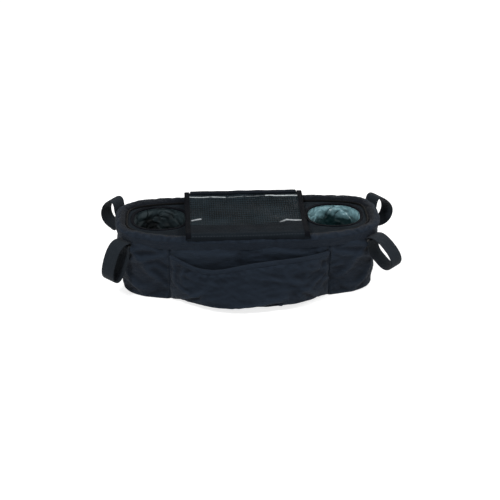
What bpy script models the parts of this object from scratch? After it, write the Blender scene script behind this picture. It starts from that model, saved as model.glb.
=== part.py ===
"""Stroller organizer: a padded cloth tray with two cup wells, a lidded middle
compartment, a bulging front pocket and four webbing loops at its corners.

Metres, +Z up. The origin is on the floor under the middle of the rim, +X runs
along the tray and the front pocket faces -Y.
"""
import math

import bmesh
import bpy
import numpy as np

# Clearances
FIT = 0.0003                 # between pieces that touch
SEAM_GAP = 0.0003            # between the sewn edges of two outer panels
POCKET_FIT = 0.0005          # pocket cloth over the wall it is sewn to

# Inside spaces
CENTRE_HALF_LENGTH = 0.082   # middle compartment, along X
CENTRE_FRONT = 0.040         # middle compartment, from the rim's middle to its front
CENTRE_REAR = 0.050
CENTRE_POWER = 7.0           # squareness of its outline
WELL_HALF_LENGTH = 0.0375    # cup wells
WELL_HALF_DEPTH = 0.036
WELL_POWER = 2.4
WELL_TAPER = 0.004           # a well is this much smaller all round at its floor
LINING = 0.0012
DIVIDER_THICKNESS = 0.0034

# Deck between the openings and the rim
END_DECK = 0.0118
FRONT_DECK = 0.036
REAR_DECK = 0.0165
DECK_THICKNESS = 0.0025
DECK_DROP = 0.0008           # top of the deck below the middle of the rim roll
BINDING_WIDTH = 0.005        # flat tape round each well
BINDING_THICKNESS = 0.0012

# Outer walls
BODY_HEIGHT = 0.095
WALL = 0.004
END_TAPER = 0.0075           # the base is this much shorter at each end
FRONT_TAPER = 0.0185
REAR_TAPER = 0.0135
FRONT_POWER = 2.7            # rounder front corners
REAR_POWER = 4.3             # squarer rear corners
BASE_ROUND = 0.003           # rounded lower edge
BASE_CLOTH = 0.002
BOARD_THICKNESS = 0.0023
BOARD_MARGIN = 0.002

# Rim
ROLL_WIDTH = 0.015
ROLL_HEIGHT = 0.012
ROLL_OVERHANG = 0.004
PIPING_RADIUS = 0.0015

# Front pocket
POCKET_HALF_WIDTH = 0.113
REAR_PANEL_HALF_WIDTH = 0.120
POCKET_CLOTH = 0.0016
POCKET_FOOT = 0.003          # height of the pocket's lower seam
POCKET_REACH = 0.042         # how far its belly stands out from the wall
POCKET_GAPE = 0.016          # how far its mouth stands open
POCKET_BELLY = 0.009         # height over which the belly swings out
MOUTH_DROP = 0.0225          # its side seams end this far below the wall's top
MOUTH_SAG = 0.003
MOUTH_DIP = 0.018            # deeper sag left of the middle
MOUTH_DIP_X = -0.066
MOUTH_DIP_SPREAD = 0.058
HEM_THICKNESS = 0.0026
HEM_HEIGHT = 0.007

# Lid
LID_HALF_WIDTH = 0.087
LID_SHIFT = -0.003           # the lid sits a little to the left
LID_SETBACK = 0.002          # its front edge behind the outside of the rim roll
LID_CLOTH = 0.0015
LID_SAG = 0.003
LID_BAND = 0.043             # cloth band along the front
LID_BAND_THICKNESS = 0.0016
MESH_THICKNESS = 0.0006
WINDOW_THICKNESS = 0.0007
LID_BINDING_WIDTH = 0.0075
LID_BINDING_LEG = 0.0008
LID_ROLL_WIDTH = 0.009
LID_ROLL_HEIGHT = 0.004

# Corner loops of webbing
WEBBING_WIDTH = 0.025
WEBBING = 0.0016
TAPE = 0.0012                # hook and loop fastening tapes
TAPE_WIDTH = 0.022
TAPE_LENGTH = 0.011
TAPE_HEIGHT = 0.081          # middle of the fastened overlap
STRAP_LEAD = 0.0035          # straight webbing beyond the fastened overlap
FRONT_STRAP_TURN = math.radians(43)
REAR_STRAP_TURN = math.radians(35)
# Routes of the loops' middle lines, outward from the wall and up, in metres
FRONT_LEFT_ROUTE = [(0.0062, 0.0905), (0.0110, 0.0915), (0.0180, 0.0895), (0.0245, 0.0840),
                    (0.0300, 0.0760), (0.0345, 0.0660), (0.0375, 0.0560), (0.0385, 0.0465),
                    (0.0350, 0.0395), (0.0290, 0.0365), (0.0225, 0.0390), (0.0165, 0.0480),
                    (0.0125, 0.0570), (0.0085, 0.0650)]
FRONT_RIGHT_ROUTE = [(0.0062, 0.0915), (0.0120, 0.0930), (0.0200, 0.0905), (0.0290, 0.0855),
                     (0.0380, 0.0790), (0.0450, 0.0710), (0.0480, 0.0620), (0.0450, 0.0545),
                     (0.0380, 0.0505), (0.0300, 0.0515), (0.0220, 0.0560), (0.0150, 0.0610),
                     (0.0095, 0.0655)]
REAR_LEFT_ROUTE = [(0.0072, 0.0935), (0.0085, 0.1020), (0.0095, 0.1100), (0.0140, 0.1140),
                   (0.0210, 0.1120), (0.0285, 0.1045), (0.0325, 0.0950), (0.0330, 0.0860),
                   (0.0290, 0.0775), (0.0220, 0.0735), (0.0150, 0.0700), (0.0100, 0.0680)]
REAR_RIGHT_ROUTE = [(0.0072, 0.0935), (0.0085, 0.1010), (0.0100, 0.1080), (0.0150, 0.1110),
                    (0.0230, 0.1080), (0.0320, 0.1000), (0.0395, 0.0905), (0.0415, 0.0810),
                    (0.0375, 0.0715), (0.0290, 0.0660), (0.0190, 0.0650), (0.0120, 0.0660)]

# Mesh density
FRONT_STEPS = (9, 9)         # middle to seam, seam to end
REAR_STEPS = (6, 11)
WALL_LEVELS = 6
ROLL_SIDES = 10
PIPING_SIDES = 6
WELL_SIDES = 32
POCKET_LEVELS = 15
STRAP_STEPS = 44
LID_STEPS = 14

# Sizes that follow from the ones above
DIVIDER_INSIDE = CENTRE_HALF_LENGTH + LINING + FIT
DIVIDER_OUTSIDE = DIVIDER_INSIDE + DIVIDER_THICKNESS
WELL_X = DIVIDER_OUTSIDE + FIT + LINING + WELL_HALF_LENGTH
WELL_Y = (FRONT_DECK - REAR_DECK) / 2
ROLL_INSIDE = ROLL_WIDTH - ROLL_OVERHANG + FIT
HALF_LENGTH = WELL_X + WELL_HALF_LENGTH + END_DECK + ROLL_INSIDE
HALF_DEPTH = WELL_HALF_DEPTH + (FRONT_DECK + REAR_DECK) / 2 + ROLL_INSIDE
ROLL_Z = BODY_HEIGHT + FIT + ROLL_HEIGHT / 2
RIM_TOP = ROLL_Z + ROLL_HEIGHT / 2
DECK_TOP = ROLL_Z - DECK_DROP
LINING_TOP = DECK_TOP - DECK_THICKNESS - FIT
LIP = DIVIDER_THICKNESS / 2 + FIT / 2
FLOOR = BASE_CLOTH + FIT + BOARD_THICKNESS + FIT
HALF_RING = sum(FRONT_STEPS) + sum(REAR_STEPS)
FULL_RING = 2 * HALF_RING
FRONT_SEAM = FRONT_STEPS[0]
REAR_SEAM = HALF_RING - REAR_STEPS[0]
LID_UNDER = RIM_TOP + FIT + LID_BINDING_LEG + FIT
LID_FRONT = -(HALF_DEPTH + ROLL_OVERHANG - LID_SETBACK)
LID_REAR = -LID_FRONT


def clear_scene():
    """Start from an empty scene."""
    for item in list(bpy.data.objects):
        bpy.data.objects.remove(item, do_unlink=True)


def collection(name):
    group = bpy.data.collections.new(name)
    bpy.context.scene.collection.children.link(group)
    return group


def material(name, colour, roughness, alpha=1.0):
    """A plain surface: its colour, how dull it is and how clear."""
    made = bpy.data.materials.new(name)
    made.use_nodes = True
    shader = made.node_tree.nodes["Principled BSDF"]
    shader.inputs["Base Color"].default_value = (*colour, 1.0)
    shader.inputs["Roughness"].default_value = roughness
    shader.inputs["Metallic"].default_value = 0.0
    shader.inputs["Alpha"].default_value = alpha
    return made


def add_object(name, mesh, surface):
    """Put a mesh in the organizer's collection with a material of its own."""
    for face in mesh.polygons:
        face.use_smooth = True
    mesh.set_sharp_from_angle(angle=math.radians(40))
    mesh.materials.append(surface)
    made = bpy.data.objects.new(name, mesh)
    PARTS.objects.link(made)
    return made


def loft(name, sections, surface, closed=False):
    """Skin over a row of equal closed sections, joined end to end or capped."""
    work = bmesh.new()
    rows = [[work.verts.new(point) for point in section] for section in sections]
    pairs = list(zip(rows, rows[1:]))
    if closed:
        pairs.append((rows[-1], rows[0]))
    for first, second in pairs:
        for here in range(len(first)):
            there = (here + 1) % len(first)
            work.faces.new((first[here], first[there], second[there], second[here]))
    if not closed:
        work.faces.new(rows[0])
        work.faces.new(rows[-1])
    bmesh.ops.recalc_face_normals(work, faces=work.faces)
    mesh = bpy.data.meshes.new(name)
    work.to_mesh(mesh)
    work.free()
    return add_object(name, mesh, surface)


def quarter(half_length, half_depth, power):
    """Dense rounded quarter outline from the middle of a side to the end."""
    turn = np.linspace(0.0, math.pi / 2, 900)
    across = half_length * np.sin(turn) ** (2 / power)
    deep = half_depth * np.cos(turn) ** (2 / power)
    return across, deep


def even_walk(across, deep, seam, steps):
    """Points at even steps from the middle to a seam, then on to the end."""
    run = np.concatenate([[0.0], np.cumsum(np.hypot(np.diff(across), np.diff(deep)))])
    at_seam = np.interp(seam, across, run)
    stops = np.concatenate([np.linspace(0.0, at_seam, steps[0] + 1),
                            np.linspace(at_seam, run[-1], steps[1] + 1)[1:]])
    return np.interp(stops, run, across), np.interp(stops, run, deep)


def outward(points):
    """Unit normals of a closed outline that runs anticlockwise."""
    along = np.roll(points, -1, axis=0) - np.roll(points, 1, axis=0)
    along /= np.linalg.norm(along, axis=1)[:, None]
    return np.stack([along[:, 1], -along[:, 0]], axis=1)


def body_size(height):
    """Half length, front depth and rear depth of the outer wall at a height."""
    lack = 1.0 - height / BODY_HEIGHT
    return (HALF_LENGTH - END_TAPER * lack,
            HALF_DEPTH - FRONT_TAPER * lack,
            HALF_DEPTH - REAR_TAPER * lack)


def body_outline(height, inset=0.0):
    """Plan of the body at a height, moved inward, from the front's middle."""
    length, front, rear = body_size(height)
    front_x, front_y = even_walk(*quarter(length, front, FRONT_POWER),
                                 POCKET_HALF_WIDTH, FRONT_STEPS)
    rear_x, rear_y = even_walk(*quarter(length, rear, REAR_POWER),
                               REAR_PANEL_HALF_WIDTH, REAR_STEPS)
    right_x = np.concatenate([front_x, rear_x[::-1][1:]])
    right_y = np.concatenate([-front_y, rear_y[::-1][1:]])
    across = np.concatenate([right_x, -right_x[::-1][1:-1]])
    deep = np.concatenate([right_y, right_y[::-1][1:-1]])
    points = np.stack([across, deep], axis=1)
    return points - outward(points) * inset


def at_station(outline, station):
    """Point of a closed outline at a whole or part station."""
    low = math.floor(station)
    share = station - low
    first = outline[low % len(outline)]
    second = outline[(low + 1) % len(outline)]
    return first * (1 - share) + second * share


def wall_section_rows():
    """Heights and insets of the wall's section, up the outside and down the inside."""
    rise = np.linspace(BASE_ROUND, BODY_HEIGHT, WALL_LEVELS)
    outside = [(0.0, BASE_ROUND * 0.6)] + [(height, 0.0) for height in rise]
    inside = [(height, WALL) for height in rise[::-1]] + [(0.0, WALL)]
    return outside + inside


def wall_panel(name, start, stop, surface):
    """One outer panel between two seam stations, with its cut edges just apart."""
    rings = [(body_outline(height, inset), height) for height, inset in wall_section_rows()]
    rim = body_outline(BODY_HEIGHT)
    step = np.linalg.norm(at_station(rim, start + 1) - at_station(rim, start))
    back = SEAM_GAP / 2 / step
    last = np.linalg.norm(at_station(rim, stop) - at_station(rim, stop - 1))
    stations = [start + back] + list(range(start + 1, stop)) + [stop - SEAM_GAP / 2 / last]
    sections = [[(*at_station(ring, station), height) for ring, height in rings]
                for station in stations]
    return loft(name, sections, surface)


def flat_plate(name, outlines, low, high, surface):
    """Plate cut from a flat outline, with any further outlines as holes."""
    curve = bpy.data.curves.new(name, "CURVE")
    curve.dimensions = "2D"
    curve.fill_mode = "BOTH"
    curve.extrude = (high - low) / 2
    for outline in outlines:
        spline = curve.splines.new("POLY")
        spline.points.add(len(outline) - 1)
        for point, (across, deep) in zip(spline.points, outline):
            point.co = (across, deep, 0.0, 1.0)
        spline.use_cyclic_u = True
    guide = bpy.data.objects.new(name + "_outline", curve)
    PARTS.objects.link(guide)
    bpy.context.view_layer.update()
    solid = guide.evaluated_get(bpy.context.evaluated_depsgraph_get())
    mesh = bpy.data.meshes.new_from_object(solid)
    bpy.data.objects.remove(guide, do_unlink=True)
    work = bmesh.new()
    work.from_mesh(mesh)
    bmesh.ops.remove_doubles(work, verts=work.verts, dist=0.00001)
    bmesh.ops.translate(work, verts=work.verts, vec=(0.0, 0.0, (low + high) / 2))
    bmesh.ops.recalc_face_normals(work, faces=work.faces)
    work.to_mesh(mesh)
    work.free()
    return add_object(name, mesh, surface)


def closed_oval(middle, half_length, half_front, half_rear, power, sides, grow=0.0):
    """Rounded outline about a point, with its own front and rear depths."""
    points = []
    for step in range(sides):
        turn = math.tau * (step + 0.5) / sides
        along, deep = math.cos(turn), math.sin(turn)
        half_depth = half_rear if deep > 0 else half_front
        points.append((
            middle[0] + (half_length + grow) * math.copysign(abs(along) ** (2 / power), along),
            middle[1] + (half_depth + grow) * math.copysign(abs(deep) ** (2 / power), deep)))
    return points


def well_outline(side, grow=0.0):
    return closed_oval((side * WELL_X, WELL_Y), WELL_HALF_LENGTH, WELL_HALF_DEPTH,
                       WELL_HALF_DEPTH, WELL_POWER, WELL_SIDES, grow)


def centre_outline(grow=0.0):
    return closed_oval((0.0, 0.0), CENTRE_HALF_LENGTH, CENTRE_FRONT, CENTRE_REAR,
                       CENTRE_POWER, WELL_SIDES, grow)


def lining_cup(name, outline, taper, surface):
    """Open cup of thin lining with a narrow lip under the deck."""
    path = [(LINING - taper, FLOOR),
            (LINING, LINING_TOP - LINING),
            (LINING + LIP, LINING_TOP - LINING),
            (LINING + LIP, LINING_TOP),
            (0.0, LINING_TOP),
            (-taper, FLOOR + LINING)]
    sections = [[(*point, height) for point in outline(grow)] for grow, height in path]
    return loft(name, sections, surface)


def wall_inside(across, height, side, inset=WALL):
    """Y of the inner face of the front (-1) or rear (+1) wall at a place along X."""
    length, front, rear = body_size(height)
    depth, power = (front, FRONT_POWER) if side < 0 else (rear, REAR_POWER)
    share = abs(across) / (length - inset)
    return side * (depth - inset) * (1 - share ** power) ** (1 / power)


def divider(name, side, surface):
    """Padded wall between a well and the middle compartment, stepped under the rim."""
    inner, outer = side * DIVIDER_INSIDE, side * DIVIDER_OUTSIDE
    top = LINING_TOP - LINING - FIT
    levels = [(height, WALL) for height in np.linspace(FLOOR, BODY_HEIGHT - FIT, WALL_LEVELS)]
    levels.append((top, ROLL_INSIDE))
    sections = []
    for height, inset in levels:
        level = min(height, BODY_HEIGHT)
        front = wall_inside(outer, level, -1, inset) + 2 * FIT
        rear = wall_inside(outer, level, 1, inset) - 2 * FIT
        sections.append([(inner, front, height), (outer, front, height),
                         (outer, rear, height), (inner, rear, height)])
    return loft(name, sections, surface)


def rim_sweep(name, inset, height, half_width, half_height, sides, surface):
    """Oval cord laid all round the rim."""
    turns = [math.tau * side / sides for side in range(sides)]
    rings = [body_outline(BODY_HEIGHT, inset - half_width * math.cos(turn)) for turn in turns]
    lifts = [height + half_height * math.sin(turn) for turn in turns]
    sections = [[(*ring[station], lift) for ring, lift in zip(rings, lifts)]
                for station in range(FULL_RING)]
    return loft(name, sections, surface, closed=True)


def well_binding(name, side, surface):
    """Flat tape round the mouth of a well, on the deck."""
    low = DECK_TOP + FIT
    high = low + BINDING_THICKNESS
    path = [(0.0, low), (BINDING_WIDTH, low), (BINDING_WIDTH, high), (0.0, high)]
    outlines = [well_outline(side, grow) for grow, height in path]
    sections = [[(*outline[step], height) for outline, (grow, height) in zip(outlines, path)]
                for step in range(WELL_SIDES)]
    return loft(name, sections, surface, closed=True)


def mouth_height(across):
    """Height of the pocket's mouth, sagging between its side seams."""
    share = across / POCKET_HALF_WIDTH
    dip = math.exp(-((across - MOUTH_DIP_X) / MOUTH_DIP_SPREAD) ** 2)
    sag = MOUTH_SAG * (1 - share ** 2) + MOUTH_DIP * dip * (1 - share ** 4)
    return BODY_HEIGHT - MOUTH_DROP - sag


def pocket_curve(across, share):
    """How far out from the wall, and how high, the pocket's cloth is."""
    slack = max(0.0, 1 - abs(across / POCKET_HALF_WIDTH) ** 2.4)
    belly = POCKET_REACH * slack ** 0.8
    gape = POCKET_GAPE * slack
    bend = 0.4
    if share < bend:
        turn = math.pi / 2 * share / bend
        return belly * math.sin(turn), POCKET_FOOT + POCKET_BELLY * (1 - math.cos(turn))
    rest = (share - bend) / (1 - bend)
    foot = POCKET_FOOT + POCKET_BELLY
    height = foot + (mouth_height(across) - foot) * rest
    return gape + (belly - gape) * (0.5 + 0.5 * math.cos(math.pi * rest)), height


def pocket_point(station, out, height):
    """Place on the front wall, a distance out along its normal."""
    outline = body_outline(min(height, BODY_HEIGHT))
    spot = at_station(outline, station)
    return (*(spot + outward(outline)[station % FULL_RING] * out), height)


def pocket_across(station):
    """Place along X of a station on the pocket."""
    return POCKET_HALF_WIDTH * station / FRONT_SEAM


def front_pocket(surface):
    """Cloth panel that leaves the wall at the base, bellies out and rises to its mouth."""
    shares = np.linspace(0.0, 1.0, POCKET_LEVELS)
    sections = []
    for station in range(-FRONT_SEAM, FRONT_SEAM + 1):
        curve = [pocket_curve(pocket_across(station), share) for share in shares]
        outside = [pocket_point(station, POCKET_FIT + POCKET_CLOTH + out, height)
                   for out, height in curve]
        inside = [pocket_point(station, POCKET_FIT + out,
                               height + (POCKET_CLOTH if 0 < place < 5 else 0.0))
                  for place, (out, height) in enumerate(curve)]
        sections.append(outside + inside[::-1])
    return loft("front_pocket", sections, surface)


def pocket_hem(surface):
    """Turned edge along the pocket's mouth."""
    sections = []
    for station in range(-FRONT_SEAM, FRONT_SEAM + 1):
        out, height = pocket_curve(pocket_across(station), 1.0)
        near = POCKET_FIT + out
        far = near + HEM_THICKNESS
        low = height + FIT
        high = low + HEM_HEIGHT
        edge = HEM_THICKNESS / 3
        corners = [(near, low), (far, low), (far, high - edge), (far - edge, high),
                   (near + edge, high), (near, high - edge)]
        sections.append([pocket_point(station, away, level) for away, level in corners])
    return loft("front_pocket_hem", sections, surface)


def lid_height(deep):
    """Underside of the lid cloth: level over the rim, sagging between."""
    share = min(1.0, abs(deep) / (HALF_DEPTH - ROLL_WIDTH / 2 + ROLL_OVERHANG))
    return LID_UNDER - LID_SAG * (1 - share ** 2) ** 2


def lid_sheet(name, left, right, front, rear, low, thickness, surface):
    """Sheet that follows the lid's sag, at a height above the lid's underside."""
    sections = []
    for deep in np.linspace(front, rear, LID_STEPS):
        base = lid_height(deep) + low
        sections.append([(left, deep, base), (right, deep, base),
                         (right, deep, base + thickness), (left, deep, base + thickness)])
    return loft(name, sections, surface)


def lid_binding(name, side, surface):
    """Folded tape round one side edge of the lid."""
    edge = LID_SHIFT + side * LID_HALF_WIDTH
    inner = edge - side * LID_BINDING_WIDTH
    slot = edge - side * (LID_BINDING_LEG + FIT)
    depth = LID_CLOTH + FIT + LID_BAND_THICKNESS
    sections = []
    for deep in np.linspace(LID_FRONT, LID_REAR, LID_STEPS):
        base = lid_height(deep)
        under = base - FIT - LID_BINDING_LEG
        over = base + depth + FIT + LID_BINDING_LEG
        gap_low, gap_high = base - FIT, base + depth + FIT
        corners = [(inner, under), (edge, under), (edge, over), (inner, over),
                   (inner, gap_high), (slot + side * FIT, gap_high),
                   (slot + side * FIT, gap_low), (inner, gap_low)]
        sections.append([(across, deep, height) for across, height in corners])
    return loft(name, sections, surface)


def lid_roll(surface):
    """Rolled rear edge of the lid, lying on its cloth."""
    half_width, half_height = LID_ROLL_WIDTH / 2, LID_ROLL_HEIGHT / 2
    deep = LID_REAR - half_width
    height = lid_height(deep) + LID_CLOTH + FIT + half_height
    reach = LID_HALF_WIDTH - LID_BINDING_WIDTH - FIT
    sections = []
    for across in (LID_SHIFT - reach, LID_SHIFT + reach):
        sections.append([(across, deep + half_width * math.cos(math.tau * step / 12),
                          height + half_height * math.sin(math.tau * step / 12))
                         for step in range(12)])
    return loft("lid_back_roll", sections, surface)


def make_lid(surfaces):
    """Cloth, net, clear window, front band, side tapes and rear roll."""
    reach = LID_HALF_WIDTH - LID_BINDING_LEG - FIT
    left, right = LID_SHIFT - reach, LID_SHIFT + reach
    lid_sheet("lid_panel", left, right, LID_FRONT, LID_REAR, 0.0, LID_CLOTH, surfaces["cloth"]())
    above = LID_CLOTH + FIT
    band_rear = LID_FRONT + LID_BAND
    lid_sheet("lid_front_band", left, right, LID_FRONT, band_rear, above,
              LID_BAND_THICKNESS, surfaces["ripstop"]())
    clear_rear = LID_REAR - LID_ROLL_WIDTH - FIT
    lid_sheet("lid_mesh", left, right, band_rear + FIT, clear_rear, above,
              MESH_THICKNESS, surfaces["mesh"]())
    lid_sheet("lid_window", left, right, band_rear + FIT, clear_rear,
              above + MESH_THICKNESS + FIT, WINDOW_THICKNESS, surfaces["vinyl"]())
    lid_binding("lid_binding_left", -1, surfaces["tape"]())
    lid_binding("lid_binding_right", 1, surfaces["tape"]())
    lid_roll(surfaces["cloth"]())


def strap_seat(side, end, turn):
    """Place on the wall whose outward direction is the loop's, and that direction."""
    length, front, rear = body_size(TAPE_HEIGHT + TAPE_LENGTH / 2)
    depth, power = (front, FRONT_POWER) if end < 0 else (rear, REAR_POWER)
    across, deep = quarter(length, depth, power)
    slope = np.arctan2((deep / depth) ** (power - 1) / depth,
                       (across / length) ** (power - 1) / length)
    place = int(np.argmin(np.abs(slope - turn)))
    spot = np.array([side * across[place], end * deep[place]])
    return spot, np.array([side * math.cos(turn), end * math.sin(turn)])


def smooth_route(points, steps):
    """Even run of points on a smooth curve led by the given ones, straight where they are."""
    knots = np.array(points)
    ends = np.vstack([2 * knots[0] - knots[1], knots, 2 * knots[-1] - knots[-2]])
    dense = []
    for place in range(1, len(ends) - 2):
        before, start, stop, after = ends[place - 1:place + 3]
        for share in np.linspace(0.0, 1.0, 20, endpoint=False):
            dense.append((before * (1 - share) ** 3
                          + start * (3 * share ** 3 - 6 * share ** 2 + 4)
                          + stop * (-3 * share ** 3 + 3 * share ** 2 + 3 * share + 1)
                          + after * share ** 3) / 6)
    dense = np.vstack([dense, knots[-1]])
    run = np.concatenate([[0.0], np.cumsum(np.linalg.norm(np.diff(dense, axis=0), axis=1))])
    stops = np.linspace(0.0, run[-1], steps)
    return np.stack([np.interp(stops, run, dense[:, 0]), np.interp(stops, run, dense[:, 1])], 1)


def strap_layers():
    """Distance from the wall of the middle of each layer of a fastened loop."""
    sewn = FIT + WEBBING / 2
    hook = sewn + WEBBING / 2 + FIT + TAPE / 2
    loop = hook + TAPE + FIT
    free = loop + TAPE / 2 + FIT + WEBBING / 2
    return sewn, hook, loop, free


def strap(name, side, end, turn, route, surface):
    """Webbing sewn to the wall, led round a loop and back over its own start."""
    spot, away = strap_seat(side, end, turn)
    across = np.array([-away[1], away[0]])
    sewn, _, _, free = strap_layers()
    low, high = TAPE_HEIGHT - TAPE_LENGTH / 2, TAPE_HEIGHT + TAPE_LENGTH / 2
    start = [(sewn, level) for level in (low, TAPE_HEIGHT, high, high + STRAP_LEAD)]
    stop = [(free, level) for level in (low - STRAP_LEAD, low, TAPE_HEIGHT, high)]
    middle = smooth_route(start + route + stop, STRAP_STEPS)
    along = np.gradient(middle, axis=0)
    along /= np.linalg.norm(along, axis=1)[:, None]
    aside = np.stack([along[:, 1], -along[:, 0]], axis=1)
    sections = []
    for point, lean in zip(middle, aside):
        corners = []
        for wide, thick in ((-1, -1), (1, -1), (1, 1), (-1, 1)):
            out, height = point + lean * thick * WEBBING / 2
            plan = spot + away * out + across * wide * WEBBING_WIDTH / 2
            corners.append((*plan, height))
        sections.append(corners)
    return loft(name, sections, surface)


def strap_tape(name, side, end, turn, out, surface):
    """Flat fastening tape between the two layers of a loop."""
    spot, away = strap_seat(side, end, turn)
    middle = spot + away * out
    bpy.ops.mesh.primitive_cube_add(size=1.0)
    block = bpy.context.object
    mesh = block.data
    bpy.data.objects.remove(block, do_unlink=True)
    made = add_object(name, mesh, surface)
    made.scale = (TAPE, TAPE_WIDTH, TAPE_LENGTH)
    made.location = (*middle, TAPE_HEIGHT)
    made.rotation_euler = (0.0, 0.0, math.atan2(away[1], away[0]))
    return made


def make_straps(surfaces):
    """Four corner loops, each with its hook and loop tapes."""
    _, hook, loop, _ = strap_layers()
    corners = (("front_left", -1, -1, FRONT_STRAP_TURN, FRONT_LEFT_ROUTE),
               ("front_right", 1, -1, FRONT_STRAP_TURN, FRONT_RIGHT_ROUTE),
               ("rear_left", -1, 1, REAR_STRAP_TURN, REAR_LEFT_ROUTE),
               ("rear_right", 1, 1, REAR_STRAP_TURN, REAR_RIGHT_ROUTE))
    for corner, side, end, turn, route in corners:
        strap(corner + "_strap", side, end, turn, route, surfaces["webbing"]())
        strap_tape(corner + "_hook_tape", side, end, turn, hook, surfaces["tape"]())
        strap_tape(corner + "_loop_tape", side, end, turn, loop, surfaces["tape"]())


def make_body(surfaces):
    """Outer panels, base, rim and deck."""
    cloth = surfaces["cloth"]
    wall_panel("front_panel", -FRONT_SEAM, FRONT_SEAM, cloth())
    wall_panel("right_side_panel", FRONT_SEAM, REAR_SEAM, cloth())
    wall_panel("rear_panel", REAR_SEAM, FULL_RING - REAR_SEAM, cloth())
    wall_panel("left_side_panel", FULL_RING - REAR_SEAM, FULL_RING - FRONT_SEAM, cloth())
    flat_plate("base_panel", [body_outline(0.0, WALL + 2 * FIT)], 0.0, BASE_CLOTH, cloth())
    flat_plate("base_board", [body_outline(0.0, WALL + BOARD_MARGIN)], BASE_CLOTH + FIT,
               BASE_CLOTH + FIT + BOARD_THICKNESS, surfaces["board"]())
    rim_sweep("rim_roll", ROLL_WIDTH / 2 - ROLL_OVERHANG, ROLL_Z, ROLL_WIDTH / 2,
              ROLL_HEIGHT / 2, ROLL_SIDES, cloth())
    rim_sweep("rim_piping", ROLL_INSIDE + FIT + PIPING_RADIUS, DECK_TOP + FIT + PIPING_RADIUS,
              PIPING_RADIUS, PIPING_RADIUS, PIPING_SIDES, surfaces["tape"]())
    flat_plate("collar", [body_outline(BODY_HEIGHT, ROLL_INSIDE), centre_outline(),
                          well_outline(-1), well_outline(1)],
               DECK_TOP - DECK_THICKNESS, DECK_TOP, cloth())


def make_inside(surfaces):
    """Linings of the three spaces and the padded walls between them."""
    lining = surfaces["lining"]
    lining_cup("centre_lining", centre_outline, 0.0, lining())
    for label, side in (("left", -1), ("right", 1)):
        lining_cup(label + "_well_lining", lambda grow, side=side: well_outline(side, grow),
                   WELL_TAPER, lining())
        well_binding(label + "_well_binding", side, surfaces["tape"]())
        divider(label + "_divider", side, surfaces["cloth"]())


def surface_makers():
    """A fresh material of each sort on every call."""
    looks = {"cloth": ((0.014, 0.017, 0.022), 0.85, 1.0),
             "ripstop": ((0.016, 0.019, 0.024), 0.8, 1.0),
             "tape": ((0.008, 0.009, 0.010), 0.9, 1.0),
             "webbing": ((0.016, 0.019, 0.021), 0.85, 1.0),
             "lining": ((0.045, 0.085, 0.095), 0.35, 1.0),
             "mesh": ((0.014, 0.018, 0.023), 0.7, 1.0),
             "board": ((0.03, 0.03, 0.03), 0.6, 1.0),
             "vinyl": ((0.5, 0.55, 0.58), 0.1, 0.35)}
    return {name: (lambda name=name, look=look: material(name, *look))
            for name, look in looks.items()}


clear_scene()
PARTS = collection("stroller_organizer")
SURFACES = surface_makers()
make_body(SURFACES)
make_inside(SURFACES)
front_pocket(SURFACES["cloth"]())
pocket_hem(SURFACES["cloth"]())
make_lid(SURFACES)
make_straps(SURFACES)
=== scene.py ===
"""Looks of the stroller organizer: padded cloth, crinkled lining, net and clear vinyl, webbing."""
import math
import bpy
import numpy as np
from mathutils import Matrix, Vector, noise

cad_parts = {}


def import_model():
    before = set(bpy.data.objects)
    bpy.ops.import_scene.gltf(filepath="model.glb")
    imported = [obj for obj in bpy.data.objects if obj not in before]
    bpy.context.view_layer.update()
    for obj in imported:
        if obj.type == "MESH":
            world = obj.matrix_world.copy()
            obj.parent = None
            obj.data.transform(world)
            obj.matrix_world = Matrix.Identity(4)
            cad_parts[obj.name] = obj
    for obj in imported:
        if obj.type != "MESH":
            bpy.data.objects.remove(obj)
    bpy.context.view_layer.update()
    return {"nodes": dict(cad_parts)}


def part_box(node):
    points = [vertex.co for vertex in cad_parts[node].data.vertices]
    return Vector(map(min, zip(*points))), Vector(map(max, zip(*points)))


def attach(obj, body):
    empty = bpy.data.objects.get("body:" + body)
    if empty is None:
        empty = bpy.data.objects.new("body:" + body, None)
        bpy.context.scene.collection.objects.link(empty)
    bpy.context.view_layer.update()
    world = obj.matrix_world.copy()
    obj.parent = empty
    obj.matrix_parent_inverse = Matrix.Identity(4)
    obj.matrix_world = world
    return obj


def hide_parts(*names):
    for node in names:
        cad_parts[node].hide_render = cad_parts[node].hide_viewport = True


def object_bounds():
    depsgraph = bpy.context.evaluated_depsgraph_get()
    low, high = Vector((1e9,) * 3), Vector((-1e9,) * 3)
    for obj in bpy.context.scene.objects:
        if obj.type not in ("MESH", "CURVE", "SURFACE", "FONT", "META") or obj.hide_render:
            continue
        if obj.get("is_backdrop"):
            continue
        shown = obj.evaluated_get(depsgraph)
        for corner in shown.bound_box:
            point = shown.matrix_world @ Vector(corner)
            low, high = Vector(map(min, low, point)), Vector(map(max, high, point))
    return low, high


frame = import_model()

# Sizes of the organizer's solids, in metres
BODY_HEIGHT = 0.095
HALF_LENGTH, HALF_DEPTH = 0.1865, 0.07355
END_TAPER, FRONT_TAPER, REAR_TAPER = 0.0075, 0.0185, 0.0135
FRONT_POWER, REAR_POWER = 2.7, 4.3
POCKET_HALF_WIDTH, REAR_PANEL_HALF_WIDTH = 0.113, 0.120
ROLL_WIDTH, ROLL_HEIGHT, ROLL_OVERHANG, ROLL_Z = 0.015, 0.012, 0.004, 0.1013
ROLL_INSIDE = 0.0113
DECK_TOP, DECK_MIDDLE, LINING_TOP = 0.1005, 0.09925, 0.0977
WELL_X, WELL_Y = 0.1259, 0.00975
WELL_HALF_LENGTH, WELL_HALF_DEPTH, WELL_TAPER = 0.0375, 0.036, 0.004
FLOOR, LINING = 0.0049, 0.0012
POCKET_FIT, POCKET_CLOTH, POCKET_FOOT = 0.0005, 0.0016, 0.003
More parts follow.
